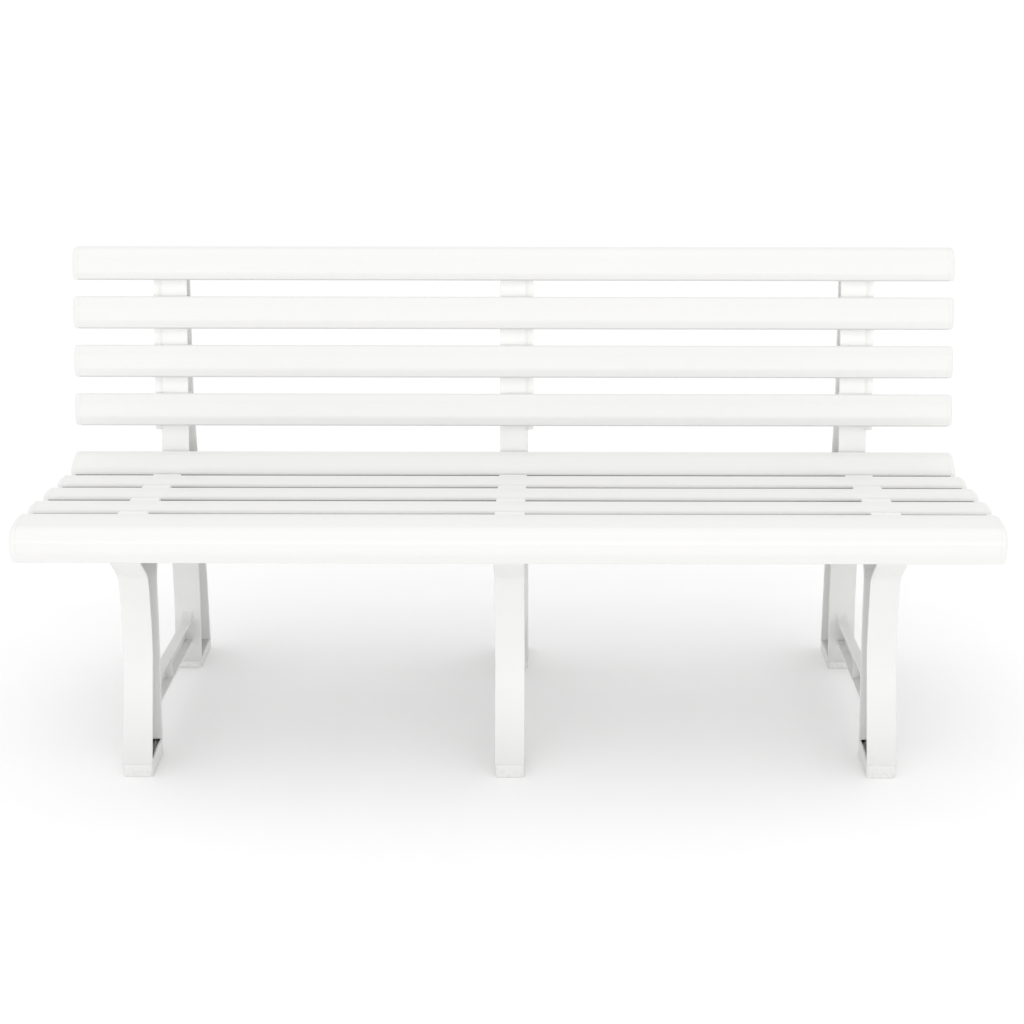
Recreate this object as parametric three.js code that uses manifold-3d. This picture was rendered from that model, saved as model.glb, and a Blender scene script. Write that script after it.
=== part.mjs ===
// Garden bench: three moulded side frames carry nine hollow plastic slats.
// Units are millimetres. +Z is up, X runs along the bench, and the front faces -Y.
// Side profiles are drawn as [depth, height] pairs. Depth is measured back from the front of
// the seat, so it is 0 at the nose and BENCH_DEPTH at the back.

import * as THREE from "three";
import { mergeVertices } from "three/addons/utils/BufferGeometryUtils.js";
import Module from "manifold-3d";

const wasm = await Module();
wasm.setup();

// Overall sizes
const BENCH_LENGTH = 1455;
const BENCH_DEPTH = 490;
const JOINT_GAP = 0.3;
const ARC_STEP_DEG = 30;

// Frames
const FRAME_SPACING = 565;
const FRAME_WIDTH = 45;
const WEB_THICKNESS = 4;
const FLANGE_THICKNESS = 4;
const RIB_THICKNESS = 2.6;
const STRETCHER_WIDTH = 16;
const STRETCHER_WALL = 3;
const UPRIGHT_TOP_DEPTH = 28;
const SLAT_FLANGE_WIDTH = 10;
const SLAT_FLANGE_DEPTH = 7;

// Feet
const FRONT_CAP_HEIGHT = 22;
const REAR_CAP_HEIGHT = 12;
const FOOT_CAP_WALL = 3;
const FOOT_CAP_FLOOR = 4;
const FOOT_CAP_RADIUS = 5;
const FRONT_FOOT = [14, 92];
const REAR_FOOT = [401, 488];
const FRONT_CAP = { depths: FRONT_FOOT, height: FRONT_CAP_HEIGHT };
const REAR_CAP = { depths: REAR_FOOT, height: REAR_CAP_HEIGHT };

// Slats
const SLAT_WIDTH = 56;
const SLAT_THICKNESS = 18;
const SLAT_WALL = 3;
const SLAT_PITCH = 80.4;
const CAP_LENGTH = 9;
const CAP_PLUG = 10;

// How the cap's end rounds over: distance out from the slat, and how far the outline shrinks
const CAP_DOME = [
  [0, 0],
  [3, 0],
  [6, 0.8],
  [8.2, 2.8],
  [CAP_LENGTH, 5],
];

// Backrest: the lowest slat's back edge, and the lean of all four
const BACK_LEAN_DEG = 11.7;
const BACK_FIRST = [405.3, 438.4];
const BACK_COUNT = 4;
const TOP_LIP = 43;

// Seat: the underside of the first flat slat, the fall to the rear, and the tilted rear slat
const SEAT_FALL_DEG = 5;
const SEAT_FIRST = [98.3, 386.5];
const SEAT_FLAT_COUNT = 3;
const SEAT_REAR_TILT_DEG = 27;
const SEAT_REAR_FIRST = [343.2, 364];
const TOOTH_CLEARANCE = 1;
const TOOTH_HEIGHT = 13;
const LAST_TOOTH_SHORTER = 5;
const LAST_TOOTH_SLANT = 5;

// Screws
const SCREW_SHAFT_RADIUS = 2;
const SCREW_HEAD_RADIUS = 4.5;
const SCREW_HEAD_HEIGHT = 2.8;
const SCREW_REACH = 7;
const SCREW_SEGMENTS = 8;

const WHITE_GLOSS = { color: 0xf4f3ef, roughness: 0.28, metalness: 0 };
const WHITE_SATIN = { color: 0xeceded, roughness: 0.42, metalness: 0 };
const ZINC = { color: 0xb9bcc0, roughness: 0.35, metalness: 1 };

// ---------------------------------------------------------------- outlines

// Puts corners in counter-clockwise order.
function counterClockwise(corners) {
  let area = 0;
  corners.forEach(([x, y], i) => {
    const [nx, ny] = corners[(i + 1) % corners.length];
    area += x * ny - nx * y;
  });
  return area < 0 ? corners.slice().reverse() : corners;
}

// Rounds every corner [x, y, radius] of a closed outline and returns plain points.
function roundOutline(corners) {
  const points = [];
  const count = corners.length;
  corners.forEach(([x, y, radius = 0], i) => {
    const corner = new THREE.Vector2(x, y);
    if (radius === 0) {
      points.push(corner);
      return;
    }
    const before = corners[(i + count - 1) % count];
    const after = corners[(i + 1) % count];
    const toBefore = new THREE.Vector2(before[0] - x, before[1] - y).normalize();
    const toAfter = new THREE.Vector2(after[0] - x, after[1] - y).normalize();
    const opening = Math.acos(THREE.MathUtils.clamp(toBefore.dot(toAfter), -1, 1));
    const reach = radius / Math.tan(opening / 2);
    const middle = toBefore.clone().add(toAfter).normalize();
    const centre = corner.clone().addScaledVector(middle, radius / Math.sin(opening / 2));
    const first = corner.clone().addScaledVector(toBefore, reach).sub(centre);
    const last = corner.clone().addScaledVector(toAfter, reach).sub(centre);
    const turn = Math.atan2(first.cross(last), first.dot(last));
    const arcs = Math.abs(turn) / THREE.MathUtils.degToRad(ARC_STEP_DEG);
    const steps = Math.max(1, Math.ceil(arcs - 1e-6));
    for (let k = 0; k <= steps; k += 1) {
      const spoke = first.clone().rotateAround(new THREE.Vector2(), (turn * k) / steps);
      points.push(centre.clone().add(spoke));
    }
  });
  return points;
}

// Moves every edge of a counter-clockwise outline inwards by a distance.
// A negative distance moves them outwards.
function insetOutline(corners, distance) {
  const count = corners.length;
  const edges = corners.map(([x, y], i) => {
    const [nx, ny] = corners[(i + 1) % count];
    const direction = new THREE.Vector2(nx - x, ny - y).normalize();
    const inward = new THREE.Vector2(-direction.y, direction.x);
    const start = new THREE.Vector2(x, y).addScaledVector(inward, distance);
    return { start, direction };
  });
  return corners.map(([, , radius = 0], i) => {
    const a = edges[(i + count - 1) % count];
    const b = edges[i];
    const turn = a.direction.cross(b.direction);
    const between = b.start.clone().sub(a.start);
    const along = between.cross(b.direction) / turn;
    const corner = a.start.clone().addScaledVector(a.direction, along);
    const newRadius = turn > 0 ? radius - distance : radius + distance;
    return [corner.x, corner.y, radius === 0 ? 0 : Math.max(newRadius, 0.8)];
  });
}

// Turns a local section by an angle and moves its origin to a [depth, height] point.
function placeSection(corners, [depth, height], angleDeg) {
  const angle = THREE.MathUtils.degToRad(angleDeg);
  const cos = Math.cos(angle);
  const sin = Math.sin(angle);
  return corners.map(([u, v, radius]) => [
    depth + u * cos - v * sin,
    height + u * sin + v * cos,
    radius,
  ]);
}

// ---------------------------------------------------------------- solids

// Extrudes a [depth, height] outline along X from one x to another.
function extrudeAlongX(corners, xFrom, xTo) {
  const shape = new THREE.Shape(roundOutline(counterClockwise(corners)));
  const geometry = new THREE.ExtrudeGeometry(shape, {
    depth: xTo - xFrom,
    bevelEnabled: false,
  });
  const toBench = new THREE.Matrix4().makeBasis(
    new THREE.Vector3(0, 1, 0),
    new THREE.Vector3(0, 0, 1),
    new THREE.Vector3(1, 0, 0),
  );
  geometry.applyMatrix4(toBench);
  geometry.translate(xFrom, -BENCH_DEPTH / 2, 0);
  return toManifold(geometry);
}

// Joins copies of an outline, each at an x and shrunk by an inset, into one closed solid.
function loftAlongX(corners, rings) {
  const ordered = rings.slice();
  if (ordered[0][0] > ordered[ordered.length - 1][0]) {
    ordered.reverse();
  }
  const loops = ordered.map(([, inset]) => roundOutline(insetOutline(corners, inset)));
  const size = loops[0].length;
  const positions = [];
  loops.forEach((loop, ring) => {
    for (const point of loop) {
      positions.push(ordered[ring][0], point.x - BENCH_DEPTH / 2, point.y);
    }
  });
  const triangles = [];
  for (let ring = 0; ring + 1 < loops.length; ring += 1) {
    for (let i = 0; i < size; i += 1) {
      const a = ring * size + i;
      const b = ring * size + ((i + 1) % size);
      triangles.push(a, b, b + size, a, b + size, a + size);
    }
  }
  const lastStart = (loops.length - 1) * size;
  for (const [a, b, c] of THREE.ShapeUtils.triangulateShape(loops[0], [])) {
    triangles.push(c, b, a);
  }
  for (const [a, b, c] of THREE.ShapeUtils.triangulateShape(loops[loops.length - 1], [])) {
    triangles.push(lastStart + a, lastStart + b, lastStart + c);
  }
  const geometry = new THREE.BufferGeometry();
  geometry.setAttribute("position", new THREE.Float32BufferAttribute(positions, 3));
  geometry.setIndex(triangles);
  return toManifold(geometry);
}

// Extrudes an upright block with rounded vertical edges. The plan is x and depth ranges.
function uprightBlock([x0, x1], [d0, d1], [z0, z1], radius) {
  const corners = [
    [x0, d0, radius],
    [x1, d0, radius],
    [x1, d1, radius],
    [x0, d1, radius],
  ];
  const shape = new THREE.Shape(roundOutline(corners));
  const geometry = new THREE.ExtrudeGeometry(shape, { depth: z1 - z0, bevelEnabled: false });
  geometry.translate(0, -BENCH_DEPTH / 2, z0);
  return toManifold(geometry);
}

function toManifold(geometry) {
  const plain = geometry.clone();
  plain.deleteAttribute("normal");
  plain.deleteAttribute("uv");
  const welded = mergeVertices(plain, 1e-4);
  return new wasm.Manifold(new wasm.Mesh({
    numProp: 3,
    vertProperties: new Float32Array(welded.attributes.position.array),
    triVerts: new Uint32Array(welded.index.array),
  }));
}

function toMesh(name, manifold, look) {
  const solid = manifold.getMesh();
  const indexed = new THREE.BufferGeometry();
  indexed.setAttribute("position", new THREE.BufferAttribute(solid.vertProperties, 3));
  indexed.setIndex(new THREE.BufferAttribute(solid.triVerts, 1));
  const geometry = indexed.toNonIndexed();
  geometry.computeVertexNormals();
  const mesh = new THREE.Mesh(geometry, new THREE.MeshStandardMaterial(look));
  mesh.name = name;
  return mesh;
}

// ---------------------------------------------------------------- slat positions

// A straight slat's section: u runs across its width and v out of its visible face.
const STRAIGHT_SECTION = [
  [4, 0, 3],
  [SLAT_WIDTH - 4, 0, 3],
  [SLAT_WIDTH, 13, 5],
  [SLAT_WIDTH - 15, SLAT_THICKNESS, 26],
  [15, SLAT_THICKNESS, 26],
  [0, 13, 5],
];

// The top slat's section rolls back over the tops of the frames.
const TOP_SECTION = [
  [4, 0, 3],
  [TOP_LIP, 0, 5],
  [TOP_LIP, -17, 2],
  [54.5, -17, 5],
  [57.5, -5, 10],
  [53, 10, 16],
  [38, SLAT_THICKNESS, 24],
  [13, SLAT_THICKNESS, 20],
  [0, 13, 5],
];

// The nose is drawn in place: a bull-nosed board that turns down at the front of the seat.
const NOSE_SECTION = [
  [7, 351.5, 3],
  [23, 351.5, 2],
  [18, 364, 9],
  [18, 381, 9],
  [32, 391, 14],
  [54, 393.5, 40],
  [74.6, 391, 3],
  [75.6, 404, 6],
  [52, 409.5, 60],
  [10, 404, 20],
  [1, 387, 18],
  [0, 369, 22],
];

// Every slat: its name, its section in place, and the point and direction of its screws.
function listSlats() {
  const slats = [{ name: "seat_nose", section: NOSE_SECTION, fixing: null }];
  const addStraight = (name, section, origin, angleDeg) => {
    const angle = THREE.MathUtils.degToRad(angleDeg);
    const middle = SLAT_WIDTH / 2;
    slats.push({
      name,
      section: placeSection(section, origin, angleDeg),
      fixing: {
        point: [origin[0] + middle * Math.cos(angle), origin[1] + middle * Math.sin(angle)],
        direction: [-Math.sin(angle), Math.cos(angle)],
      },
    });
  };
  const along = ([depth, height], angleDeg, distance) => {
    const angle = THREE.MathUtils.degToRad(angleDeg);
    return [depth + distance * Math.cos(angle), height + distance * Math.sin(angle)];
  };
  for (let i = 0; i < SEAT_FLAT_COUNT; i += 1) {
    const origin = along(SEAT_FIRST, -SEAT_FALL_DEG, i * SLAT_PITCH);
    addStraight(`seat_flat_${i + 1}`, STRAIGHT_SECTION, origin, -SEAT_FALL_DEG);
  }
  addStraight("seat_rear", STRAIGHT_SECTION, SEAT_REAR_FIRST, SEAT_REAR_TILT_DEG);
  const lean = 90 - BACK_LEAN_DEG;
  for (let i = 0; i < BACK_COUNT; i += 1) {
    const origin = along(BACK_FIRST, lean, i * SLAT_PITCH);
    const section = i === BACK_COUNT - 1 ? TOP_SECTION : STRAIGHT_SECTION;
    addStraight(`back_${i + 1}`, section, origin, lean);
  }
  return slats;
}

const SLATS = listSlats();

// ---------------------------------------------------------------- frames

// A point of a slat's own u, v axes, given in [depth, height].
function onSlope([depth, height], angleDeg, u, v) {
  const [point] = placeSection([[u, v, 0]], [depth, height], angleDeg);
  return [point[0], point[1]];
}

// The stepped top edge of the seat rail, from the nose to the rear slat.
// A tooth stands up in every space between two slats.
function seatRailTop() {
  const edge = [];
  const seat = (u, v) => onSlope(SEAT_FIRST, -SEAT_FALL_DEG, u, v);
  const space = SLAT_PITCH - SLAT_WIDTH;
  for (let i = 0; i <= SEAT_FLAT_COUNT; i += 1) {
    const start = i * SLAT_PITCH - space;
    const toothFrom = start + TOOTH_CLEARANCE;
    const toothTo = start + space - TOOTH_CLEARANCE;
    const last = i === SEAT_FLAT_COUNT;
    const topTo = last ? toothTo - LAST_TOOTH_SLANT - LAST_TOOTH_SHORTER : toothTo;
    const baseTo = last ? toothTo - LAST_TOOTH_SHORTER : toothTo;
    edge.push([...seat(toothFrom, -JOINT_GAP), 0]);
    edge.push([...seat(toothFrom, TOOTH_HEIGHT), 2]);
    edge.push([...seat(topTo, TOOTH_HEIGHT), 2]);
    edge.push([...seat(baseTo, -JOINT_GAP), 0]);
  }
  return edge;
}

// The frame's outer side view, without its foot plugs.
function frameOutline() {
  const lean = 90 - BACK_LEAN_DEG;
  const topOfUpright = (BACK_COUNT - 1) * SLAT_PITCH + TOP_LIP - 2 * JOINT_GAP;
  const backEdge = (u) => onSlope(BACK_FIRST, lean, u, -JOINT_GAP);
  const rearSeat = (u) => onSlope(SEAT_REAR_FIRST, SEAT_REAR_TILT_DEG, u, -JOINT_GAP);
  const base = FRONT_CAP_HEIGHT + JOINT_GAP;
  return [
    [FRONT_FOOT[0], base, 0],
    [66, 190, 190],
    [66, 303, 36],
    [24.3, 343, 4],
    [24, 377, 8],
    [37, 390, 8],
    [54, 392.3, 20],
    ...seatRailTop(),
    [...rearSeat(0), 0],
    [...rearSeat(SLAT_WIDTH - 1), 0],
    [...backEdge(-44), 6],
    [...backEdge(topOfUpright), 4],
    [...onSlope(BACK_FIRST, lean, topOfUpright, -UPRIGHT_TOP_DEPTH), 4],
    [461, 470, 260],
    [466, 392, 260],
    [486, 150, 260],
    [REAR_FOOT[1], REAR_CAP_HEIGHT + JOINT_GAP, 0],
    [REAR_FOOT[0], REAR_CAP_HEIGHT + JOINT_GAP, 0],
    [417, 112, 120],
    [420, 200, 160],
    [408, 312, 40],
    [148, 330, 24],
    [121, 285, 60],
    [118, 225, 200],
    [FRONT_FOOT[1], base, 0],
  ];
}

// The lower rail between the legs. It is narrower than they are, and flares into both.
const STRETCHER_OUTLINE = [
  [91, 30, 0],
  [103, 56, 14],
  [406, 46, 10],
  [408, 30, 0],
  [421, 122, 0],
  [413, 86, 24],
  [103, 102, 24],
  [104.5, 134, 0],
];

const STRETCHER_HOLLOW = [
  [106, 59.5, 3],
  [404, 49.5, 3],
  [404, 82.5, 3],
  [106, 98, 3],
];

// Stiffening ribs across the hollow of a frame: start and end of each, in [depth, height].
const RIBS = [
  [[166, 310], [166, 400]],
  [[246, 310], [246, 400]],
  [[326, 300], [326, 400]],
  [[394, 368], [480, 368]],
  [[395, 484], [490, 484]],
  [[410, 563], [490, 563]],
  [[420, 641], [490, 641]],
];

const STRETCHER_RIBS = [
  [[250, 40], [250, 120]],
];

// A thin plate standing on the line between two points.
function ribPlate([start, end], xFrom, xTo) {
  const a = new THREE.Vector2(...start);
  const b = new THREE.Vector2(...end);
  const direction = b.clone().sub(a).normalize();
  const side = new THREE.Vector2(-direction.y, direction.x).multiplyScalar(RIB_THICKNESS / 2);
  const corners = [a.clone().sub(side), b.clone().sub(side), b.clone().add(side), a.clone().add(side)];
  return extrudeAlongX(corners.map((p) => [p.x, p.y, 0]), xFrom, xTo);
}

// The hole a screw passes through, long enough to cross a flange and a slat wall.
function screwHole(x, fixing) {
  const length = 2 * SCREW_REACH;
  const geometry = new THREE.CylinderGeometry(
    SCREW_SHAFT_RADIUS + JOINT_GAP,
    SCREW_SHAFT_RADIUS + JOINT_GAP,
    length,
    SCREW_SEGMENTS,
  );
  placeOnFixing(geometry, x, fixing);
  return toManifold(geometry);
}

// Turns a geometry from its own +Y to the fixing's direction and moves it to the fixing.
function placeOnFixing(geometry, x, { point, direction }) {
  const axis = new THREE.Vector3(0, direction[0], direction[1]);
  const turn = new THREE.Quaternion().setFromUnitVectors(new THREE.Vector3(0, 1, 0), axis);
  geometry.applyQuaternion(turn);
  geometry.translate(x, point[0] - BENCH_DEPTH / 2, point[1]);
}

// One moulded frame, open on the side that openSide (+1 or -1) points to along X.
function buildFrame(name, x, openSide) {
  const half = FRAME_WIDTH / 2;
  const webOuter = x - openSide * half;
  const span = (a, b) => [Math.min(a, b), Math.max(a, b)];
  const outline = counterClockwise(frameOutline());
  const channel = (corners, hollow, ribs, width, web) => {
    const outer = x - (openSide * width) / 2;
    const inner = x + (openSide * width) / 2;
    const pocketX = span(outer + openSide * web, inner + openSide);
    let pocket = extrudeAlongX(hollow, ...pocketX);
    for (const rib of ribs) {
      pocket = pocket.subtract(ribPlate(rib, ...pocketX));
    }
    return extrudeAlongX(corners, ...span(outer, inner)).subtract(pocket);
  };
  const hollow = insetOutline(outline, FLANGE_THICKNESS);
  let solid = channel(outline, hollow, RIBS, FRAME_WIDTH, WEB_THICKNESS);
  const stretcher = channel(
    counterClockwise(STRETCHER_OUTLINE),
    STRETCHER_HOLLOW,
    STRETCHER_RIBS,
    STRETCHER_WIDTH,
    STRETCHER_WALL,
  );
  solid = solid.add(stretcher);
  solid = solid.add(slatFlange(webOuter, openSide));
  for (const { depths: [from, to], height } of [FRONT_CAP, REAR_CAP]) {
    const clear = FOOT_CAP_WALL + JOINT_GAP;
    const plug = uprightBlock(
      [x - half + clear, x + half - clear],
      [from + clear, to - clear],
      [FOOT_CAP_FLOOR + JOINT_GAP, height + JOINT_GAP + FLANGE_THICKNESS],
      FOOT_CAP_RADIUS - FOOT_CAP_WALL,
    );
    solid = solid.add(plug);
  }
  for (const { fixing } of SLATS.filter((slat) => slat.fixing)) {
    solid = solid.subtract(screwHole(x, fixing));
  }
  return toMesh(name, solid, WHITE_SATIN);
}

// The strip beside the backrest edge that widens the frame behind the slats.
function slatFlange(webOuter, openSide) {
  const lean = 90 - BACK_LEAN_DEG;
  const from = -6;
  const to = (BACK_COUNT - 1) * SLAT_PITCH + TOP_LIP - 4;
  const at = (u, v) => onSlope(BACK_FIRST, lean, u, v);
  const corners = [
    [...at(from, -JOINT_GAP), 0],
    [...at(from, -JOINT_GAP - SLAT_FLANGE_DEPTH), 0],
    [...at(to, -JOINT_GAP - SLAT_FLANGE_DEPTH), 0],
    [...at(to, -JOINT_GAP), 0],
  ];
  const outer = webOuter - openSide * SLAT_FLANGE_WIDTH;
  const inner = webOuter + openSide * 1;
  return extrudeAlongX(corners, Math.min(outer, inner), Math.max(outer, inner));
}

// A cup-shaped foot cap that closes the end of a leg.
function buildFootCap(name, x, { depths: [from, to], height }) {
  const half = FRAME_WIDTH / 2;
  const outside = uprightBlock(
    [x - half, x + half],
    [from, to],
    [0, height],
    FOOT_CAP_RADIUS,
  );
  const inside = uprightBlock(
    [x - half + FOOT_CAP_WALL, x + half - FOOT_CAP_WALL],
    [from + FOOT_CAP_WALL, to - FOOT_CAP_WALL],
    [FOOT_CAP_FLOOR, height + 1],
    FOOT_CAP_RADIUS - FOOT_CAP_WALL,
  );
  return toMesh(name, outside.subtract(inside), WHITE_SATIN);
}

// ---------------------------------------------------------------- slats, caps and screws

const FRAMES = [
  { name: "left", x: -FRAME_SPACING, openSide: 1 },
  { name: "middle", x: 0, openSide: -1 },
  { name: "right", x: FRAME_SPACING, openSide: -1 },
];

// A hollow slat, open at both ends, with a screw hole over each frame.
function buildSlat({ name, section, fixing }) {
  const half = BENCH_LENGTH / 2 - CAP_LENGTH - JOINT_GAP;
  const outline = counterClockwise(section);
  let solid = extrudeAlongX(outline, -half, half);
  solid = solid.subtract(extrudeAlongX(insetOutline(outline, SLAT_WALL), -half - 1, half + 1));
  if (fixing) {
    for (const frame of FRAMES) {
      solid = solid.subtract(screwHole(frame.x, fixing));
    }
  }
  return toMesh(`slat_${name}`, solid, WHITE_GLOSS);
}

// The cap that closes one end of a slat: a domed end, and a plug that fits inside the slat.
function buildSlatCap({ name, section }, sideName, side) {
  const start = BENCH_LENGTH / 2 - CAP_LENGTH;
  const rings = [
    [start - CAP_PLUG, SLAT_WALL + JOINT_GAP],
    [start, SLAT_WALL + JOINT_GAP],
    ...CAP_DOME.map(([distance, inset]) => [start + distance, inset]),
  ];
  const placed = rings.map(([x, inset]) => [side * x, inset]);
  const solid = loftAlongX(counterClockwise(section), placed);
  return toMesh(`cap_${name}_${sideName}`, solid, WHITE_GLOSS);
}

// A pan-head screw, driven from inside the frame's hollow into the back of a slat.
function buildScrew(name, x, fixing) {
  const headTop = -JOINT_GAP - FLANGE_THICKNESS - JOINT_GAP;
  const headBottom = headTop - SCREW_HEAD_HEIGHT;
  const profile = [
    [0, headBottom],
    [SCREW_HEAD_RADIUS * 0.6, headBottom],
    [SCREW_HEAD_RADIUS, headTop - 1],
    [SCREW_HEAD_RADIUS, headTop],
    [SCREW_SHAFT_RADIUS, headTop],
    [SCREW_SHAFT_RADIUS, SCREW_REACH - 2],
    [0, SCREW_REACH],
  ].map(([radius, height]) => new THREE.Vector2(radius, height));
  const geometry = new THREE.LatheGeometry(profile, SCREW_SEGMENTS);
  placeOnFixing(geometry, x, fixing);
  return toMesh(name, toManifold(geometry), ZINC);
}

const bench = new THREE.Group();
bench.name = "garden_bench";

for (const frame of FRAMES) {
  bench.add(buildFrame(`frame_${frame.name}`, frame.x, frame.openSide));
  bench.add(buildFootCap(`foot_cap_${frame.name}_front`, frame.x, FRONT_CAP));
  bench.add(buildFootCap(`foot_cap_${frame.name}_rear`, frame.x, REAR_CAP));
}
for (const slat of SLATS) {
  bench.add(buildSlat(slat));
  bench.add(buildSlatCap(slat, "left", -1));
  bench.add(buildSlatCap(slat, "right", 1));
  if (slat.fixing) {
    for (const frame of FRAMES) {
      bench.add(buildScrew(`screw_${slat.name}_${frame.name}`, frame.x, slat.fixing));
    }
  }
}

export default bench;
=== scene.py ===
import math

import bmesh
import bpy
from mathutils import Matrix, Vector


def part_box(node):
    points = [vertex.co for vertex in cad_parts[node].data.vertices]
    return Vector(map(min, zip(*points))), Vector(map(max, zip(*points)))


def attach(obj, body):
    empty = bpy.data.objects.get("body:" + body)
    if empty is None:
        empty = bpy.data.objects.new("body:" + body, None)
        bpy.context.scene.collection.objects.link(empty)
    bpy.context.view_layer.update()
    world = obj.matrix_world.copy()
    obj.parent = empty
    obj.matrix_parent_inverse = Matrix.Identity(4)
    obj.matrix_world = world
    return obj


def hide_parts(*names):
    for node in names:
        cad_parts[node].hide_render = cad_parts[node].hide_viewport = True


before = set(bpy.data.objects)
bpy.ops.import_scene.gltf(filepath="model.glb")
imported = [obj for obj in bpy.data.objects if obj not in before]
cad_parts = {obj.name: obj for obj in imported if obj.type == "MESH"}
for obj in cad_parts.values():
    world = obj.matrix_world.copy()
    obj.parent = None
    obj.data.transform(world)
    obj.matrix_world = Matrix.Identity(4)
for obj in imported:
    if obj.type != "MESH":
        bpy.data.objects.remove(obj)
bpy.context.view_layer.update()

# Garden bench: fine meshes, materials, light and camera.
# Side profiles are lists of (depth, height, corner radius) in millimetres, measured back from
# the front of the seat and up from the floor. Positions come from the CAD nodes' boxes.

MM = 0.001
ARC_STEP = math.radians(6)


def box_mm(node):
    """Lowest and highest corner of a CAD node, in millimetres."""
    low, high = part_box(node)
    return [value / MM for value in low], [value / MM for value in high]


# ---------------------------------------------------------------- driving dimensions

FRAME_WIDTH = 45
FRAME_WALL = 4
FRAME_EDGE = 1.5
FRAME_RIM_ROUND = 1.2
RIB_THICKNESS = 2.6
RIB_RECESS = 1.2
RIB_GRIP = 1.5
RIB_ROOT = 0.5
RIB_EDGE = 0.8
STRETCHER_WIDTH = 16
STRETCHER_WEB = 3
STRETCHER_EDGE = 0.8
STRETCHER_HOLLOW_INSET = 2.5
UPRIGHT_TOP_DEPTH = 28
SLAT_FLANGE_WIDTH = 10
SLAT_FLANGE_DEPTH = 7
SLAT_FLANGE_START = -6
SLAT_FLANGE_SHORTER = 4
SLAT_FLANGE_ROOT = 3
SLAT_FLANGE_EDGE = 1
JOINT_GAP = 0.3
# Overlapping solids of one piece keep their faces this far apart
CLEAR_OF_FACES = 0.15

SLAT_WIDTH = 56
SLAT_THICKNESS = 18
SLAT_WALL = 3
SLAT_PITCH = 80.4
TOP_LIP = 43
CAP_PLUG = 10
CAP_STRAIGHT = 3
CAP_DOME_LENGTH = 6
CAP_DOME_INSET = 5
BACK_COUNT = 4
SEAT_FLAT_COUNT = 3

FOOT_CAP_WALL = 3
FOOT_CAP_FLOOR = 4
FOOT_CAP_RADIUS = 5
FOOT_CAP_SOLE_ROUND = 1.5
FOOT_CAP_LIP_ROUND = 0.9

BACK_LEAN = 90 - 11.7
SEAT_FALL = -5
SEAT_REAR_TILT = 27
TOOTH_CLEARANCE = 1
TOOTH_HEIGHT = 13
LAST_TOOTH_SHORTER = 5
LAST_TOOTH_SLANT = 5

SCREW_HEAD_RADIUS = 4.5
SCREW_HEAD_HEIGHT = 2.8
SCREW_SHAFT_RADIUS = 2
SCREW_REACH = 7
SCREW_POINT_LENGTH = 2
SCREW_POINT_RADIUS = 0.3
SCREW_DOME_HEIGHT = 1.8
SCREW_DOME_ANGLES = (35, 50, 65, 78, 90)
CROSS_HALF_WIDTH = 0.45
CROSS_REACH = 1.9
CROSS_TOP = 0.35
CROSS_BOTTOM = 1.6
CROSS_TAPER = 0.7

FRAME_NAMES = ("left", "middle", "right")
OPEN_SIDE = {"left": 1, "middle": -1, "right": -1}


def centre_x(node):
    """Middle of a CAD node along the bench."""
    low, high = box_mm(node)
    return (low[0] + high[0]) / 2


FRAME_X = {name: centre_x(f"foot_cap_{name}_front") for name in FRAME_NAMES}

# The front foot's toe stands this far behind the front of the seat
TOE_DEPTH = 14
DEPTH_ZERO = box_mm("foot_cap_left_front")[0][1] - TOE_DEPTH


def foot(end):
    """Depth range and height of a foot cap."""
    low, high = box_mm(f"foot_cap_left_{end}")
    return low[1] - DEPTH_ZERO, high[1] - DEPTH_ZERO, high[2]


FRONT_FOOT = foot("front")
REAR_FOOT = foot("rear")

# ---------------------------------------------------------------- outlines


def counter_clockwise(corners):
    """The same corners, in counter-clockwise order."""
    area = 0
    for (x, y, _), (nx, ny, _) in zip(corners, corners[1:] + corners[:1]):
        area += x * ny - nx * y
    return corners[::-1] if area < 0 else corners


def round_outline(corners):
    """Turns corners (x, y, radius) into points, with an arc at every rounded corner."""
    points = []
    for i, (x, y, radius) in enumerate(corners):
        corner = Vector((x, y))
        if radius == 0:
            points.append(corner)
            continue
        before = Vector(corners[i - 1][:2])
        after = Vector(corners[(i + 1) % len(corners)][:2])
        to_before = (before - corner).normalized()
        to_after = (after - corner).normalized()
        opening = math.acos(max(-1, min(1, to_before.dot(to_after))))
        reach = radius / math.tan(opening / 2)
        centre = corner + (to_before + to_after).normalized() * (radius / math.sin(opening / 2))
        first = corner + to_before * reach - centre
        last = corner + to_after * reach - centre
        turn = math.atan2(first.cross(last), first.dot(last))
        steps = max(1, math.ceil(abs(turn) / ARC_STEP - 1e-3))
        for k in range(steps + 1):
            angle = turn * k / steps
            cos, sin = math.cos(angle), math.sin(angle)
            spoke = Vector((first.x * cos - first.y * sin, first.x * sin + first.y * cos))
            points.append(centre + spoke)
    return points


def inset_outline(corners, distance):
    """Moves every edge of a counter-clockwise outline inwards by a distance."""
    edges = []
    for (x, y, _), (nx, ny, _) in zip(corners, corners[1:] + corners[:1]):
        direction = Vector((nx - x, ny - y)).normalized()
        inward = Vector((-direction.y, direction.x))
        edges.append((Vector((x, y)) + inward * distance, direction))
    moved = []
    for i, (_, _, radius) in enumerate(corners):
        (a, a_dir), (b, b_dir) = edges[i - 1], edges[i]
        turn = a_dir.cross(b_dir)
        corner = a + a_dir * ((b - a).cross(b_dir) / turn)
        new_radius = radius - distance if turn > 0 else radius + distance
        moved.append((corner.x, corner.y, max(new_radius, 0.5) if radius else 0))
    return moved


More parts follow.
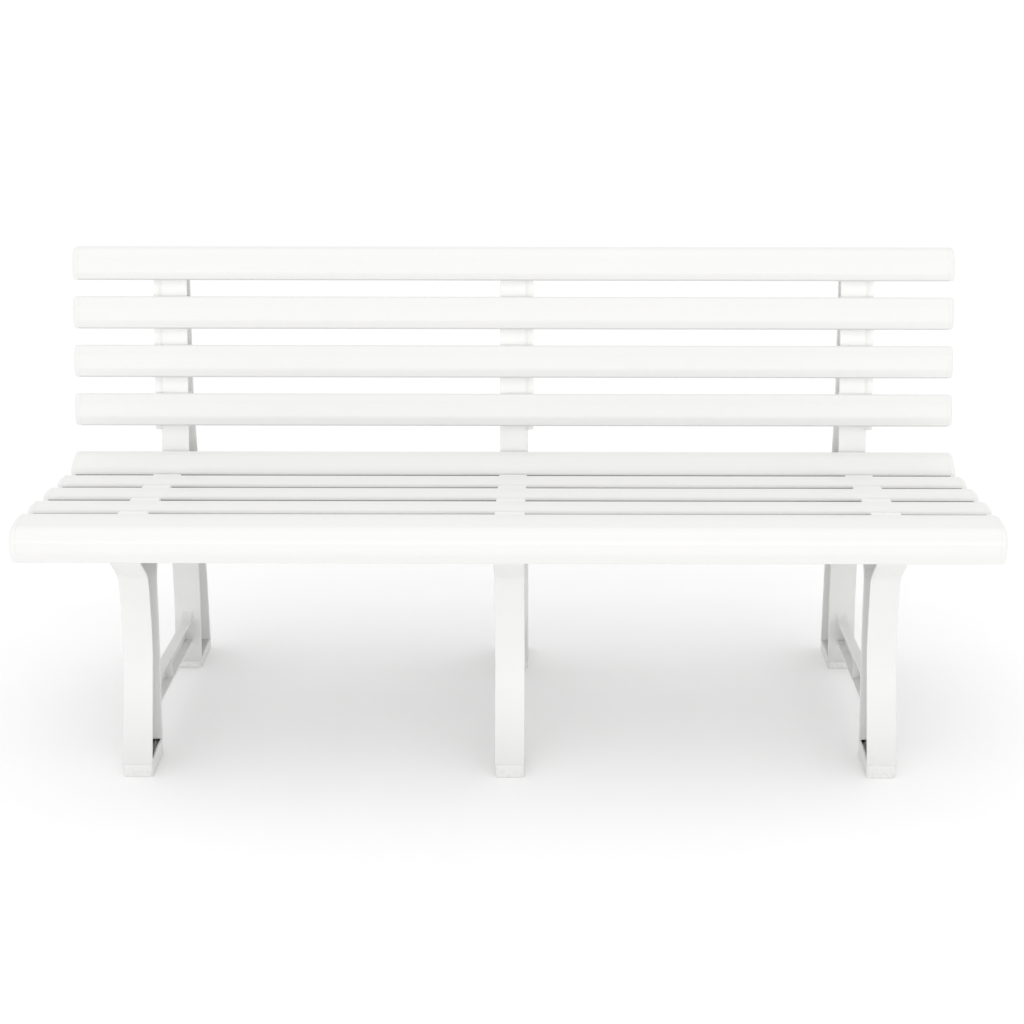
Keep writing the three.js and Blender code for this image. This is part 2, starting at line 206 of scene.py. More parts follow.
def turned(corners, degrees, origin=(0, 0)):
    """Turns a section about its own origin and moves it to a (depth, height) point."""
    cos, sin = math.cos(math.radians(degrees)), math.sin(math.radians(degrees))
    return [
        (origin[0] + u * cos - v * sin, origin[1] + u * sin + v * cos, radius)
        for u, v, radius in corners
    ]


def on_slope(origin, degrees, u, v):
    """The (depth, height) of a point given along and above a sloping line."""
    return turned([(u, v, 0)], degrees, origin)[0][:2]


STRAIGHT_SECTION = [
    (4, 0, 3),
    (SLAT_WIDTH - 4, 0, 3),
    (SLAT_WIDTH, 13, 5),
    (SLAT_WIDTH - 15, SLAT_THICKNESS, 26),
    (15, SLAT_THICKNESS, 26),
    (0, 13, 5),
]

TOP_SECTION = [
    (4, 0, 3),
    (TOP_LIP, 0, 5),
    (TOP_LIP, -17, 2),
    (54.5, -17, 5),
    (57.5, -5, 10),
    (53, 10, 16),
    (38, SLAT_THICKNESS, 24),
    (13, SLAT_THICKNESS, 20),
    (0, 13, 5),
]

NOSE_SECTION = [
    (7, 351.5, 3),
    (23, 351.5, 2),
    (18, 364, 9),
    (18, 381, 9),
    (32, 391, 14),
    (54, 393.5, 40),
    (74.6, 391, 3),
    (75.6, 404, 6),
    (52, 409.5, 60),
    (10, 404, 20),
    (1, 387, 18),
    (0, 369, 22),
]


def slat_origin(node, section, degrees):
    """Where a turned section's own origin lies so that it fills its CAD node's box."""
    outline = round_outline(counter_clockwise(turned(section, degrees)))
    low, high = box_mm(node)
    depth = (low[1] + high[1]) / 2 - DEPTH_ZERO
    height = (low[2] + high[2]) / 2
    depth -= (min(p.x for p in outline) + max(p.x for p in outline)) / 2
    height -= (min(p.y for p in outline) + max(p.y for p in outline)) / 2
    return depth, height


def list_slats():
    """Every slat: name, section in place, and the origin and angle of its own axes."""
    slats = [{"name": "seat_nose", "section": NOSE_SECTION, "origin": None, "degrees": 0}]
    kinds = []
    for i in range(SEAT_FLAT_COUNT):
        kinds.append((f"seat_flat_{i + 1}", STRAIGHT_SECTION, SEAT_FALL))
    kinds.append(("seat_rear", STRAIGHT_SECTION, SEAT_REAR_TILT))
    for i in range(BACK_COUNT - 1):
        kinds.append((f"back_{i + 1}", STRAIGHT_SECTION, BACK_LEAN))
    kinds.append((f"back_{BACK_COUNT}", TOP_SECTION, BACK_LEAN))
    for name, section, degrees in kinds:
        origin = slat_origin(f"slat_{name}", section, degrees)
        placed = turned(section, degrees, origin)
        slats.append({"name": name, "section": placed, "origin": origin, "degrees": degrees})
    return slats


SLATS = list_slats()
SLAT = {slat["name"]: slat for slat in SLATS}

# ---------------------------------------------------------------- mesh tools


def add_vertex(mesh, point):
    """Adds an (x, depth, height) point in millimetres."""
    x, depth, height = point
    return mesh.verts.new((x * MM, (depth + DEPTH_ZERO) * MM, height * MM))


def loops_to_mesh(mesh, loops, close_first=True, wrap=False):
    """Skins closed loops of (x, depth, height) points, and caps the ends."""
    rings = [[add_vertex(mesh, point) for point in loop] for loop in loops]
    pairs = list(zip(rings, rings[1:]))
    if wrap:
        pairs.append((rings[-1], rings[0]))
    for a, b in pairs:
        for i in range(len(a)):
            j = (i + 1) % len(a)
            mesh.faces.new((a[i], a[j], b[j], b[i]))
    if close_first and not wrap:
        mesh.faces.new(rings[0][::-1])
    if not wrap:
        mesh.faces.new(rings[-1])


def section_loop(corners, x, inset=0):
    """A side profile at a place along X, shrunk by an inset."""
    return [(x, p.x, p.y) for p in round_outline(inset_outline(corners, inset))]


def plan_loop(x_range, d_range, z, radius, inset=0):
    """A level rectangle with rounded corners."""
    (x0, x1), (d0, d1) = x_range, d_range
    corners = [(x0, d0, radius), (x1, d0, radius), (x1, d1, radius), (x0, d1, radius)]
    return [(p.x, p.y, z) for p in round_outline(inset_outline(corners, inset))]


def fillet(radius, steps=4):
    """(run, inset) pairs of a quarter round, from its flat end to its full size."""
    return [
        (radius * (1 - math.cos(math.pi / 2 * k / steps)),
         radius * (1 - math.sin(math.pi / 2 * k / steps)))
        for k in range(steps + 1)
    ]


def finish_piece(mesh, name, material, nodes):
    """Makes the object, faces it outward, hangs it on the root and hides the CAD nodes it replaces.
    """
    bmesh.ops.recalc_face_normals(mesh, faces=mesh.faces)
    for face in mesh.faces:
        face.smooth = True
    data = bpy.data.meshes.new(name)
    mesh.to_mesh(data)
    mesh.free()
    data.materials.append(material)
    piece = bpy.data.objects.new(name, data)
    bpy.context.collection.objects.link(piece)
    normals = piece.modifiers.new("flat faces stay flat", "WEIGHTED_NORMAL")
    normals.keep_sharp = False
    normals.weight = 90
    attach(piece, "root")
    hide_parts(*nodes)


# ---------------------------------------------------------------- materials

SLAT_LIGHT = (0.824, 0.822, 0.812)
SLAT_DARK = (0.817, 0.814, 0.803)
# The frames' whites are set lighter than the slats' as painted light, offsetting the shade on the
# uprights between the slats; below the seat, the frames' painted shade darkens them again.
FRAME_LIGHT = (0.96, 0.96, 0.95)
FRAME_DARK = (0.94, 0.94, 0.93)
FOOT_LIGHT = (0.78, 0.78, 0.77)
FOOT_DARK = (0.75, 0.75, 0.74)
SPECK_COLOUR = (0.46, 0.43, 0.38)
PLASTIC_IOR = 1.49

# The light is very even, so some of the shade is put in the plastic's own colour: on the slats'
# undersides, and on the frames below SHADE_FROM, thinning out to SHADE_TO (heights in metres).
# Brown specks cover the foot caps below SPECKS_TOP.
SHADE_FROM = 0.36
SHADE_TO = 0.46
SPECKS_TOP = 0.02


class Nodes:
    """A short way to write a material's nodes."""

    def __init__(self, name):
        self.material = bpy.data.materials.new(name)
        self.material.use_nodes = True
        self.tree = self.material.node_tree
        self.shader = self.tree.nodes["Principled BSDF"]
        self.place = self.add("ShaderNodeTexCoord").outputs["Object"]

    def add(self, kind, **values):
        node = self.tree.nodes.new(kind)
        for key, value in values.items():
            setattr(node, key, value)
        return node

    def link(self, output, socket):
        self.tree.links.new(output, socket)

    def noise(self, scale, detail=4, stretch=(1, 1, 1), roughness=0.5):
        mapping = self.add("ShaderNodeMapping")
        mapping.inputs["Scale"].default_value = stretch
        self.link(self.place, mapping.inputs["Vector"])
        noise = self.add("ShaderNodeTexNoise")
        noise.inputs["Scale"].default_value = scale
        noise.inputs["Detail"].default_value = detail
        noise.inputs["Roughness"].default_value = roughness
        self.link(mapping.outputs["Vector"], noise.inputs["Vector"])
        return noise.outputs["Fac"]

    def facing_up(self):
        """0 where the surface faces straight down, 1 where it faces straight up."""
        normal = self.add("ShaderNodeSeparateXYZ")
        self.link(self.add("ShaderNodeNewGeometry").outputs["Normal"], normal.inputs["Vector"])
        scale = self.add("ShaderNodeMath", operation="MULTIPLY_ADD")
        self.link(normal.outputs["Z"], scale.inputs[0])
        scale.inputs[1].default_value = 0.5
        scale.inputs[2].default_value = 0.5
        return scale.outputs["Value"]

    def height(self):
        place = self.add("ShaderNodeSeparateXYZ")
        self.link(self.place, place.inputs["Vector"])
        return place.outputs["Z"]

    def ramp(self, factor, stops):
        """stops are (position, grey or colour)."""
        ramp = self.add("ShaderNodeValToRGB")
        elements = ramp.color_ramp.elements
        while len(elements) < len(stops):
            elements.new(0.5)
        for element, (position, value) in zip(elements, stops):
            element.position = position
            colour = value if isinstance(value, tuple) else (value, value, value)
            element.color = (*colour, 1)
        self.link(factor, ramp.inputs["Fac"])
        return ramp.outputs["Color"]

    def mix(self, factor, a, b, blend="MIX"):
        mix = self.add("ShaderNodeMix", data_type="RGBA", blend_type=blend)
        for socket, value in ((mix.inputs[0], factor), (mix.inputs[6], a), (mix.inputs[7], b)):
            if hasattr(value, "links"):
                self.link(value, socket)
            else:
                socket.default_value = value if isinstance(value, float) else (*value, 1)
        return mix.outputs[2]

    def bump(self, height, strength, distance, normal=None):
        bump = self.add("ShaderNodeBump")
        bump.inputs["Strength"].default_value = strength
        bump.inputs["Distance"].default_value = distance
        self.link(height, bump.inputs["Height"])
        if normal:
            self.link(normal, bump.inputs["Normal"])
        return bump.outputs["Normal"]


def slat_plastic(name, slope_shade=None):
    """Extruded white plastic: glossy, with draw lines. slope_shade darkens faces that face down."""
    nodes = Nodes(name)
    mottle = nodes.noise(9, 3)
    base = nodes.ramp(mottle, [(0.2, SLAT_DARK), (0.8, SLAT_LIGHT)])
    if slope_shade:
        shade = nodes.ramp(nodes.facing_up(), slope_shade)
        base = nodes.mix(1.0, base, shade, "MULTIPLY")
    draw_lines = nodes.noise(1, 3, stretch=(1.2, 300, 300))
    marks = nodes.ramp(draw_lines, [(0.3, 1.0), (0.8, 0.993)])
    nodes.link(nodes.mix(1.0, base, marks, "MULTIPLY"), nodes.shader.inputs["Base Color"])
    scuffs = nodes.noise(34, 6, roughness=0.65)
    gloss = nodes.ramp(scuffs, [(0.3, 0.3), (0.75, 0.33)])
    nodes.link(gloss, nodes.shader.inputs["Roughness"])
    waves = nodes.noise(1, 1, stretch=(1.5, 6, 6))
    normal = nodes.bump(waves, 0.2, 0.001)
    peel = nodes.noise(900, 2)
    normal = nodes.bump(peel, 0.05, 0.0002, normal)
    nodes.link(normal, nodes.shader.inputs["Normal"])
    nodes.shader.inputs["IOR"].default_value = PLASTIC_IOR
    nodes.shader.inputs["Coat Weight"].default_value = 0.12
    nodes.shader.inputs["Coat Roughness"].default_value = 0.15
    return nodes.material


def moulded_plastic(name, light, dark, smooth, rough, specks=0.0, low_shade=1.0):
    """Moulded white plastic, finely textured. low_shade darkens it below the seat."""
    nodes = Nodes(name)
    mottle = nodes.noise(12, 4)
    base = nodes.ramp(mottle, [(0.3, dark), (0.7, light)])
    if low_shade < 1:
        shade = nodes.ramp(nodes.height(), [(SHADE_FROM, low_shade), (SHADE_TO, 1.0)])
        base = nodes.mix(1.0, base, shade, "MULTIPLY")
    if specks:
        low = nodes.ramp(nodes.height(), [(0.0, 1.0), (SPECKS_TOP, 0.0)])
        spots = nodes.ramp(nodes.noise(160, 6, roughness=0.7), [(0.45, 0.0), (0.7, specks)])
        amount = nodes.mix(1.0, low, spots, "MULTIPLY")
        base = nodes.mix(amount, base, SPECK_COLOUR)
    nodes.link(base, nodes.shader.inputs["Base Color"])
    gloss = nodes.ramp(nodes.noise(45, 6, roughness=0.6), [(0.3, smooth), (0.75, rough)])
    nodes.link(gloss, nodes.shader.inputs["Roughness"])
    grain = nodes.noise(1500, 3)
    ripple = nodes.noise(30, 2)
    normal = nodes.bump(ripple, 0.15, 0.0006)
    normal = nodes.bump(grain, 0.12, 0.0002, normal)
    nodes.link(normal, nodes.shader.inputs["Normal"])
    nodes.shader.inputs["IOR"].default_value = PLASTIC_IOR
    return nodes.material


def zinc_steel(name):
    """Zinc-plated screw steel with a slightly yellowed, mottled finish."""
    nodes = Nodes(name)
    mottle = nodes.noise(420, 5, roughness=0.6)
    base = nodes.ramp(mottle, [(0.3, (0.52, 0.52, 0.5)), (0.7, (0.7, 0.71, 0.72))])
    nodes.link(base, nodes.shader.inputs["Base Color"])
    nodes.link(nodes.ramp(mottle, [(0.3, 0.42), (0.7, 0.26)]), nodes.shader.inputs["Roughness"])
    nodes.link(nodes.bump(nodes.noise(2600, 3), 0.15, 0.0001), nodes.shader.inputs["Normal"])
    nodes.shader.inputs["Metallic"].default_value = 1
    return nodes.material


def floor_paint(name):
    """Matt white studio floor, faintly uneven."""
    nodes = Nodes(name)
    nodes.link(nodes.ramp(nodes.noise(3, 2), [(0.3, 0.972), (0.7, 0.98)]),
               nodes.shader.inputs["Base Color"])
    nodes.shader.inputs["Roughness"].default_value = 0.9
    nodes.shader.inputs["Specular IOR Level"].default_value = 0.1
    return nodes.material


NOSE_PLASTIC = slat_plastic("nose_plastic")
# The seat and backrest copies carry painted shade on faces that point down; the nose copy has none.
SEAT_PLASTIC = slat_plastic("seat_plastic", [(0.385, 0.22), (0.46, 1.0)])
BACK_PLASTIC = slat_plastic("back_plastic", [(0.2, 0.8), (0.36, 1.0)])
CAP_PLASTIC = moulded_plastic("cap_plastic", SLAT_LIGHT, SLAT_DARK, smooth=0.3, rough=0.33)
FRAME_PLASTIC = moulded_plastic(
    "frame_plastic", FRAME_LIGHT, FRAME_DARK, smooth=0.4, rough=0.5, low_shade=0.845
)
FOOT_PLASTIC = moulded_plastic(
    "foot_plastic", FOOT_LIGHT, FOOT_DARK, smooth=0.4, rough=0.55, specks=0.5
)
SCREW_STEEL = zinc_steel("screw_steel")

# ---------------------------------------------------------------- slats and their caps

SLAT_STATIONS = 24
SEAM_ROUND = 0.1
SEAM_GAP = 0.05


def build_slat(slat):
    """A hollow slat, open at both ends, with softened end edges."""
    name = slat["name"]
    low, high = box_mm(f"slat_{name}")
    outline = counter_clockwise(slat["section"])
    mesh = bmesh.new()
    x_ends = (low[0], high[0])
    loops = [section_loop(outline, x_ends[0], SEAM_ROUND)]
    for k in range(SLAT_STATIONS + 1):
        run = (x_ends[1] - x_ends[0] - 2 * SEAM_ROUND) * k / SLAT_STATIONS
        loops.append(section_loop(outline, x_ends[0] + SEAM_ROUND + run))
    loops.append(section_loop(outline, x_ends[1], SEAM_ROUND))
    loops.append(section_loop(outline, x_ends[1], SLAT_WALL))
    loops.append(section_loop(outline, x_ends[0], SLAT_WALL))
    loops_to_mesh(mesh, loops, wrap=True)
    material = SEAT_PLASTIC if name.startswith("seat") else BACK_PLASTIC
    if name == "seat_nose":
        material = NOSE_PLASTIC
    finish_piece(mesh, f"{name}_slat", material, [f"slat_{name}"])


def build_slat_cap(slat, side_name, side):
    """A domed end cap with the plug that holds it in the slat."""
    name = slat["name"]
    node = f"cap_{name}_{side_name}"
    low, high = box_mm(node)
    tip = high[0] if side > 0 else low[0]
    seam = tip - side * (CAP_STRAIGHT + CAP_DOME_LENGTH + JOINT_GAP - SEAM_GAP)
    outline = counter_clockwise(slat["section"])
    plug = SLAT_WALL + JOINT_GAP
    loops = [
        section_loop(outline, seam - side * CAP_PLUG, plug),
        section_loop(outline, seam, plug),
        section_loop(outline, seam, SEAM_ROUND),
        section_loop(outline, seam + side * SEAM_ROUND),
    ]
    for run, inset in fillet(1, 8)[::-1]:
        x = tip - side * CAP_DOME_LENGTH * run
        loops.append(section_loop(outline, x, CAP_DOME_INSET * inset))
    mesh = bmesh.new()
    loops_to_mesh(mesh, loops)
    finish_piece(mesh, f"{name}_cap_{side_name}", CAP_PLASTIC, [node])


# ---------------------------------------------------------------- frames


def seat_rail_top():
    """The stepped top of the seat rail: a tooth in every space between two slats."""
    origin = SLAT["seat_flat_1"]["origin"]
    space = SLAT_PITCH - SLAT_WIDTH
    edge = []
    for i in range(SEAT_FLAT_COUNT + 1):
        last = i == SEAT_FLAT_COUNT
        tooth_from = i * SLAT_PITCH - space + TOOTH_CLEARANCE
        tooth_to = i * SLAT_PITCH - TOOTH_CLEARANCE
        shorter = LAST_TOOTH_SHORTER if last else 0
        slant = LAST_TOOTH_SLANT if last else 0
        steps = [
            (tooth_from, -JOINT_GAP, 0),
            (tooth_from, TOOTH_HEIGHT, 2),
            (tooth_to - shorter - slant, TOOTH_HEIGHT, 2),
            (tooth_to - shorter, -JOINT_GAP, 0),
        ]
        edge += [(*on_slope(origin, SEAT_FALL, u, v), radius) for u, v, radius in steps]
    return edge


def frame_outline():
    """The frame's outer side view, from the front foot round the top to the rear foot."""
    back = SLAT["back_1"]["origin"]
    rear = SLAT["seat_rear"]["origin"]
    top = (BACK_COUNT - 1) * SLAT_PITCH + TOP_LIP - 2 * JOINT_GAP
    front_base = FRONT_FOOT[2] + JOINT_GAP
    rear_base = REAR_FOOT[2] + JOINT_GAP
    return [
        (FRONT_FOOT[0], front_base, 0),
        (66, 190, 190),
        (66, 303, 36),
        (24.3, 343, 4),
        (24, 377, 8),
        (37, 390, 8),
        (54, 392.3, 20),
        *seat_rail_top(),
        (*on_slope(rear, SEAT_REAR_TILT, 0, -JOINT_GAP), 0),
        (*on_slope(rear, SEAT_REAR_TILT, SLAT_WIDTH - 1, -JOINT_GAP), 0),
        (*on_slope(back, BACK_LEAN, -44, -JOINT_GAP), 6),
        (*on_slope(back, BACK_LEAN, top, -JOINT_GAP), 4),
        (*on_slope(back, BACK_LEAN, top, -UPRIGHT_TOP_DEPTH), 4),
        (461, 470, 260),
        (466, 392, 260),
        (486, 150, 260),
        (REAR_FOOT[1], rear_base, 0),
        (REAR_FOOT[0], rear_base, 0),
        (417, 112, 120),
        (420, 200, 160),
        (408, 312, 40),
        (148, 330, 24),
        (121, 285, 60),
        (118, 225, 200),
        (FRONT_FOOT[1], front_base, 0),
    ]


# The lower rail: a thin web with a flange along its top and bottom edges, flared into both legs
STRETCHER_OUTLINE = [
    (91, 30, 0),
    (103, 56, 14),
    (406, 46, 10),
    (408, 30, 0),
    (421, 122, 0),
    (413, 86, 24),
    (103, 102, 24),
    (104.5, 134, 0),
]
STRETCHER_TOP_FLANGE = [(99, 98.5, 0), (416, 82.3, 0), *STRETCHER_OUTLINE[4:]]
STRETCHER_BOTTOM_FLANGE = [*STRETCHER_OUTLINE[:4], (411, 49.5, 0), (96, 59.7, 0)]

# Stiffening ribs across the hollow: level ones at a height, upright ones at a depth
UPRIGHT_RIBS = [368, 484, 563, 641]
RAIL_RIBS = [166, 246, 326]
STRETCHER_RIBS = [250]
UPRIGHT_DEPTHS = (385, 495)
RAIL_HEIGHTS = (300, 400)
STRETCHER_HEIGHTS = (40, 120)


def spans_inside(points, axis, value, limits):
    """Where the line at value crosses an outline: (from, to) pairs within the limits."""
    other = 1 - axis
    hits = []
    for a, b in zip(points, points[1:] + points[:1]):
        if (a[axis] - value) * (b[axis] - value) < 0:
            t = (value - a[axis]) / (b[axis] - a[axis])
            hits.append(a[other] + (b[other] - a[other]) * t)
    hits = sorted(hits)
    spans = list(zip(hits[::2], hits[1::2]))
    return [(a, b) for a, b in spans if limits[0] <= (a + b) / 2 <= limits[1]]


def add_rib(mesh, points, axis, value, limits, x_floor, x_top):
    """A thin plate from the hollow's floor to just below its rim, with a rounded top edge."""
    half = RIB_THICKNESS / 2
    shoulder = x_top - math.copysign(RIB_EDGE, x_top - x_floor)
    for start, end in spans_inside(points, axis, value, limits):
        ends = (start - RIB_GRIP, end + RIB_GRIP)
        profile = [
            (x_floor, -half),
            (shoulder, -half * 0.8),
            (x_top, -half * 0.35),
            (x_top, half * 0.35),
            (shoulder, half * 0.8),
            (x_floor, half),
        ]
        loops = []
        for place in ends:
            if axis == 1:
                loops.append([(x, place, value + side) for x, side in profile])
            else:
                loops.append([(x, value + side, place) for x, side in profile])
        loops_to_mesh(mesh, loops)


def add_channel(mesh, outline, x, open_side):
    """An open channel: rounded outer edges, a rounded rim and a fillet round its floor."""
    wall = FRAME_WALL
    outer = x - open_side * FRAME_WIDTH / 2
    rim = x + open_side * FRAME_WIDTH / 2
    floor = outer + open_side * wall
    loops = []
    for run, inset in fillet(FRAME_EDGE):
        loops.append(section_loop(outline, outer + open_side * run, inset))
    for run, inset in fillet(FRAME_RIM_ROUND, 2)[::-1]:
        loops.append(section_loop(outline, rim - open_side * run, inset))
    for run, inset in fillet(FRAME_RIM_ROUND, 2):
        loops.append(section_loop(outline, rim - open_side * run, wall - inset))
    for run, inset in fillet(FRAME_EDGE)[::-1]:
        loops.append(section_loop(outline, floor + open_side * run, wall + inset))
    loops_to_mesh(mesh, loops)
    return floor, rim


def add_prism(mesh, outline, x_from, x_to):
    """An outline extruded along X, with rounded edges at both ends."""
    side = math.copysign(1, x_to - x_from)
    loops = []
    for run, inset in fillet(STRETCHER_EDGE, 3):
        loops.append(section_loop(outline, x_from + side * run, inset))
    for run, inset in fillet(STRETCHER_EDGE, 3)[::-1]:
        loops.append(section_loop(outline, x_to - side * run, inset))
    loops_to_mesh(mesh, loops)


def add_stretcher(mesh, x, open_side):
    """The lower rail: its web, its two flanges and a rib."""
    outer = x - open_side * STRETCHER_WIDTH / 2
    rim = x + open_side * STRETCHER_WIDTH / 2
    floor = outer + open_side * STRETCHER_WEB
    web = inset_outline(counter_clockwise(STRETCHER_OUTLINE), CLEAR_OF_FACES)
    add_prism(mesh, web, outer + open_side * CLEAR_OF_FACES, floor)
    for flange in (STRETCHER_TOP_FLANGE, STRETCHER_BOTTOM_FLANGE):
        add_prism(mesh, counter_clockwise(flange), outer, rim)
    hollow = round_outline(inset_outline(web, STRETCHER_HOLLOW_INSET))
    rib_floor = floor - open_side * RIB_ROOT
    rib_top = rim - open_side * STRETCHER_EDGE
    for depth in STRETCHER_RIBS:
        add_rib(mesh, hollow, 0, depth, STRETCHER_HEIGHTS, rib_floor, rib_top)


def add_foot_plug(mesh, x, depths, height):
    """The end of the leg that fills its foot cap."""
    clear = FOOT_CAP_WALL + JOINT_GAP
    x_range = (x - FRAME_WIDTH / 2 + clear, x + FRAME_WIDTH / 2 - clear)
    d_range = (depths[0] + clear, depths[1] - clear)
    levels = (FOOT_CAP_FLOOR + JOINT_GAP, height + JOINT_GAP + FRAME_WALL)
    radius = FOOT_CAP_RADIUS - FOOT_CAP_WALL
    loops_to_mesh(mesh, [plan_loop(x_range, d_range, z, radius) for z in levels])


def add_slat_flange(mesh, x, open_side):
    """The strip beside the backrest edge that widens the frame behind the slats."""
    back = SLAT["back_1"]["origin"]
    low = SLAT_FLANGE_START
    top = (BACK_COUNT - 1) * SLAT_PITCH + TOP_LIP - SLAT_FLANGE_SHORTER
    face = CLEAR_OF_FACES - JOINT_GAP
    rear = -JOINT_GAP - SLAT_FLANGE_DEPTH
    edge = SLAT_FLANGE_EDGE
    corners = [(low, face, edge), (low, rear, edge), (top, rear, edge), (top, face, edge)]
    outline = counter_clockwise(turned(corners, BACK_LEAN, back))
    web = x - open_side * FRAME_WIDTH / 2
    outer = web - open_side * SLAT_FLANGE_WIDTH
    loops = []
    for run, inset in fillet(edge):
        loops.append(section_loop(outline, outer + open_side * run, inset))
    loops.append(section_loop(outline, web + open_side * SLAT_FLANGE_ROOT))
    loops_to_mesh(mesh, loops)


def build_frame(name):
    """One moulded frame: its channel, ribs, lower rail, foot plugs and slat flange."""
    x = FRAME_X[name]
    open_side = OPEN_SIDE[name]
    mesh = bmesh.new()
    outline = counter_clockwise(frame_outline())
    floor, rim = add_channel(mesh, outline, x, open_side)
    hollow = round_outline(inset_outline(outline, FRAME_WALL))
    rib_floor = floor - open_side * RIB_ROOT
    rib_top = rim - open_side * RIB_RECESS
    for height in UPRIGHT_RIBS:
        add_rib(mesh, hollow, 1, height, UPRIGHT_DEPTHS, rib_floor, rib_top)
    for depth in RAIL_RIBS:
        add_rib(mesh, hollow, 0, depth, RAIL_HEIGHTS, rib_floor, rib_top)
    add_stretcher(mesh, x, open_side)
    for depth_from, depth_to, height in (FRONT_FOOT, REAR_FOOT):
        add_foot_plug(mesh, x, (depth_from, depth_to), height)
    add_slat_flange(mesh, x, open_side)
    finish_piece(mesh, f"{name}_frame", FRAME_PLASTIC, [f"frame_{name}"])


def build_foot_cap(frame_name, end):
    """A cup with rounded upright edges, a softened sole and a lip round the top."""
    node = f"foot_cap_{frame_name}_{end}"
    low, high = box_mm(node)
    x_range = (low[0], high[0])
    d_range = (low[1] - DEPTH_ZERO, high[1] - DEPTH_ZERO)
    top = high[2]
    loops = []
    for run, inset in fillet(FOOT_CAP_SOLE_ROUND):
        loops.append(plan_loop(x_range, d_range, run, FOOT_CAP_RADIUS, inset))
    for run, inset in fillet(FOOT_CAP_LIP_ROUND, 3)[::-1]:
        loops.append(plan_loop(x_range, d_range, top - run, FOOT_CAP_RADIUS, inset))
    for z in (top, FOOT_CAP_FLOOR):
        loops.append(plan_loop(x_range, d_range, z, FOOT_CAP_RADIUS, FOOT_CAP_WALL))
    mesh = bmesh.new()
    loops_to_mesh(mesh, loops)
    finish_piece(mesh, f"{frame_name}_foot_{end}", FOOT_PLASTIC, [node])


# ---------------------------------------------------------------- screws

SCREW_SEGMENTS = 32


def cross_loop(half_width, reach):
    """Twelve corners of a plus sign, for the driver recess."""
    w, r = half_width, reach
    return [(r, -w), (r, w), (w, w), (w, r), (-w, r), (-w, w),
            (-r, w), (-r, -w), (-w, -w), (-w, -r), (w, -r), (w, -w)]


def build_screw(slat, frame_name):
    """A pan-head screw with a cross recess, driven from the hollow into the slat's back."""
    node = f"screw_{slat['name']}_{frame_name}"
    x = FRAME_X[frame_name]
    origin = slat["origin"]
    point = on_slope(origin, slat["degrees"], SLAT_WIDTH / 2, 0)
    up = on_slope((0, 0), slat["degrees"], 0, 1)
    across = on_slope((0, 0), slat["degrees"], 1, 0)

    def place(side, along_slat, height):
        return (
            x + side,
            point[0] + across[0] * along_slat + up[0] * height,
            point[1] + across[1] * along_slat + up[1] * height,
        )

    head_top = -JOINT_GAP - FRAME_WALL - JOINT_GAP
    head_bottom = head_top - SCREW_HEAD_HEIGHT
    dome = []
    for angle in map(math.radians, SCREW_DOME_ANGLES):
        height = head_bottom + SCREW_DOME_HEIGHT * (1 - math.cos(angle))
        dome.append((SCREW_HEAD_RADIUS * math.sin(angle), height))
    profile = dome + [
        (SCREW_HEAD_RADIUS, head_top),
        (SCREW_SHAFT_RADIUS, head_top),
        (SCREW_SHAFT_RADIUS, SCREW_REACH - SCREW_POINT_LENGTH),
        (SCREW_POINT_RADIUS, SCREW_REACH),
    ]
    mesh = bmesh.new()
    loops = []
    for radius, height in profile:
        turn = [2 * math.pi * k / SCREW_SEGMENTS for k in range(SCREW_SEGMENTS)]
        loops.append([place(radius * math.cos(a), radius * math.sin(a), height) for a in turn])
    loops_to_mesh(mesh, loops, close_first=False)
    rim_edges = [edge for edge in mesh.edges if edge.is_boundary]
    cross = cross_loop(CROSS_HALF_WIDTH, CROSS_REACH)
    top_ring = []
    deep_ring = []
    for u, v in cross:
        deep = place(u * CROSS_TAPER, v * CROSS_TAPER, head_bottom + CROSS_BOTTOM)
        top_ring.append(add_vertex(mesh, place(u, v, head_bottom + CROSS_TOP)))
        deep_ring.append(add_vertex(mesh, deep))
    cross_edges = []
    for i in range(len(cross)):
        j = (i + 1) % len(cross)
        mesh.faces.new((top_ring[i], top_ring[j], deep_ring[j], deep_ring[i]))
        cross_edges.append(mesh.edges.get((top_ring[i], top_ring[j])))
    mesh.faces.new(deep_ring)
    bmesh.ops.bridge_loops(mesh, edges=rim_edges + cross_edges)
    finish_piece(mesh, f"{slat['name']}_screw_{frame_name}", SCREW_STEEL, [node])


# ---------------------------------------------------------------- assembly

for slat in SLATS:
    build_slat(slat)
    build_slat_cap(slat, "left", -1)
    build_slat_cap(slat, "right", 1)
    if slat["origin"]:
        for frame_name in FRAME_NAMES:
            build_screw(slat, frame_name)

for frame_name in FRAME_NAMES:
    build_frame(frame_name)
    build_foot_cap(frame_name, "front")
    build_foot_cap(frame_name, "rear")

# ---------------------------------------------------------------- floor, light and camera

FLOOR_HALF_WIDTH = 60
WORLD_LIGHT = 0.94
CAMERA_PLACE = (0.062, -2.620, 1.307)
CAMERA_LENS = 61.38
CAMERA_SHIFT = (-0.039, -0.124)
CAMERA_TILT = 90 - 16
CAMERA_ROLL = -0.1
CAMERA_REACH = 200


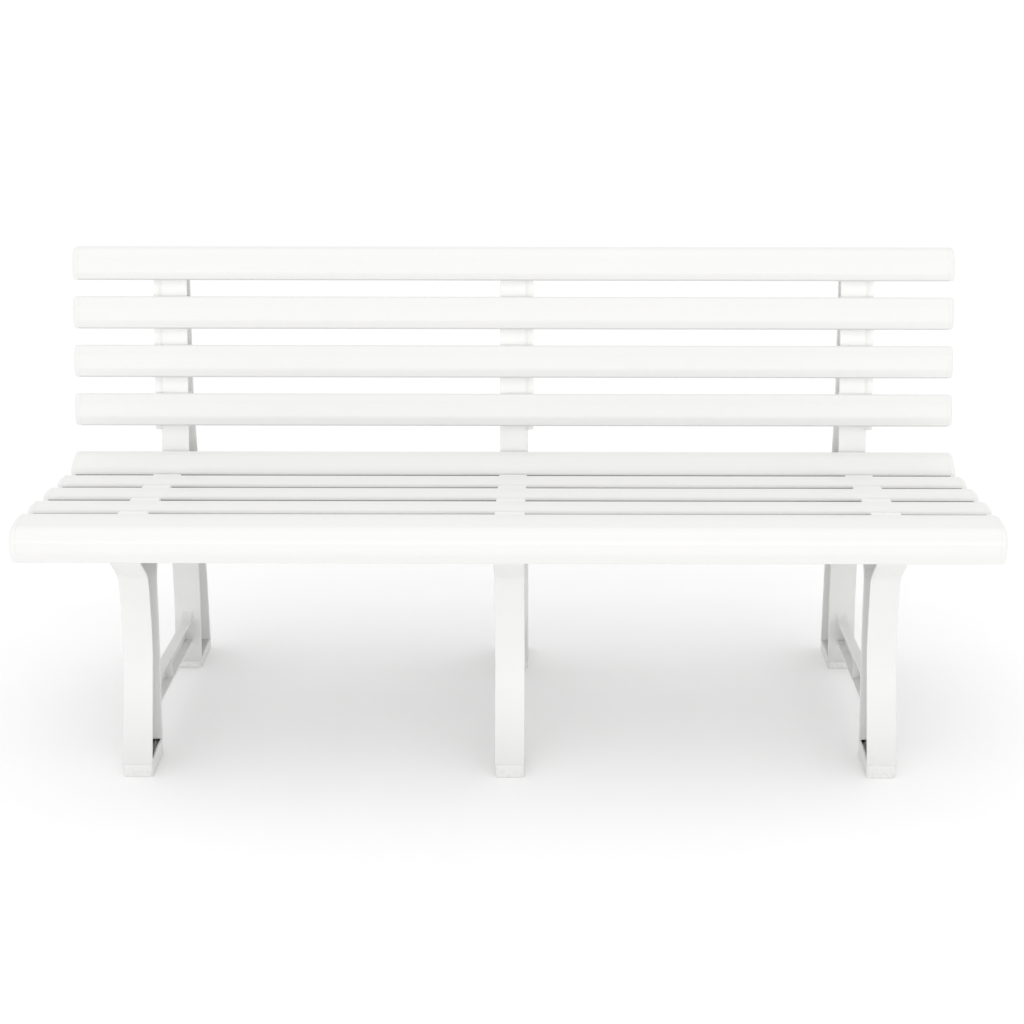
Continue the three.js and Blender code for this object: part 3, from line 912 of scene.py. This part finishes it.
def build_floor():
    """A plain white floor that reaches past the edges of the picture."""
    mesh = bmesh.new()
    bmesh.ops.create_grid(mesh, x_segments=1, y_segments=1, size=FLOOR_HALF_WIDTH)
    data = bpy.data.meshes.new("floor")
    mesh.to_mesh(data)
    mesh.free()
    data.materials.append(floor_paint("floor_paint"))
    floor = bpy.data.objects.new("floor", data)
    bpy.context.collection.objects.link(floor)


def soft_light(name, location, target, size, power):
    """A rectangular area light aimed at a point."""
    data = bpy.data.lights.new(name, "AREA")
    data.shape = "RECTANGLE"
    data.size, data.size_y = size
    data.energy = power
    light = bpy.data.objects.new(name, data)
    light.location = location
    light.rotation_euler = (Vector(target) - Vector(location)).to_track_quat("-Z", "Y").to_euler()
    bpy.context.collection.objects.link(light)


def build_sun(name, elevation, angle, strength):
    """Soft light that is even over the whole floor, from the front at an elevation."""
    data = bpy.data.lights.new(name, "SUN")
    data.energy = strength
    data.angle = math.radians(angle)
    sun = bpy.data.objects.new(name, data)
    sun.rotation_euler = (math.radians(90 - elevation), 0, 0)
    bpy.context.collection.objects.link(sun)


def build_world():
    """Even white light from all round."""
    world = bpy.data.worlds.new("studio")
    world.use_nodes = True
    background = world.node_tree.nodes["Background"]
    background.inputs["Color"].default_value = (1, 1, 1, 1)
    background.inputs["Strength"].default_value = WORLD_LIGHT
    bpy.context.scene.world = world


def build_camera():
    """Looks down on the bench from the front, a little right of its middle."""
    data = bpy.data.cameras.new("camera")
    data.lens = CAMERA_LENS
    data.shift_x, data.shift_y = CAMERA_SHIFT
    data.clip_end = CAMERA_REACH
    camera = bpy.data.objects.new("camera", data)
    camera.location = CAMERA_PLACE
    camera.rotation_euler = (math.radians(CAMERA_TILT), math.radians(CAMERA_ROLL), 0)
    bpy.context.collection.objects.link(camera)
    bpy.context.scene.camera = camera


build_floor()
build_world()
soft_light("top_strip", location=(0, -1.6, 2.6), target=(0, 0, 0.4), size=(3.6, 0.25), power=3)
build_sun("overhead", elevation=90, angle=55, strength=0.3)
build_sun("front_fill", elevation=5, angle=50, strength=0.24)
soft_light("front_strip", location=(0, -4, 0.75), target=(0, 0, 0.45), size=(5, 0.4), power=18)
build_camera()
bpy.context.scene.view_settings.view_transform = "Standard"
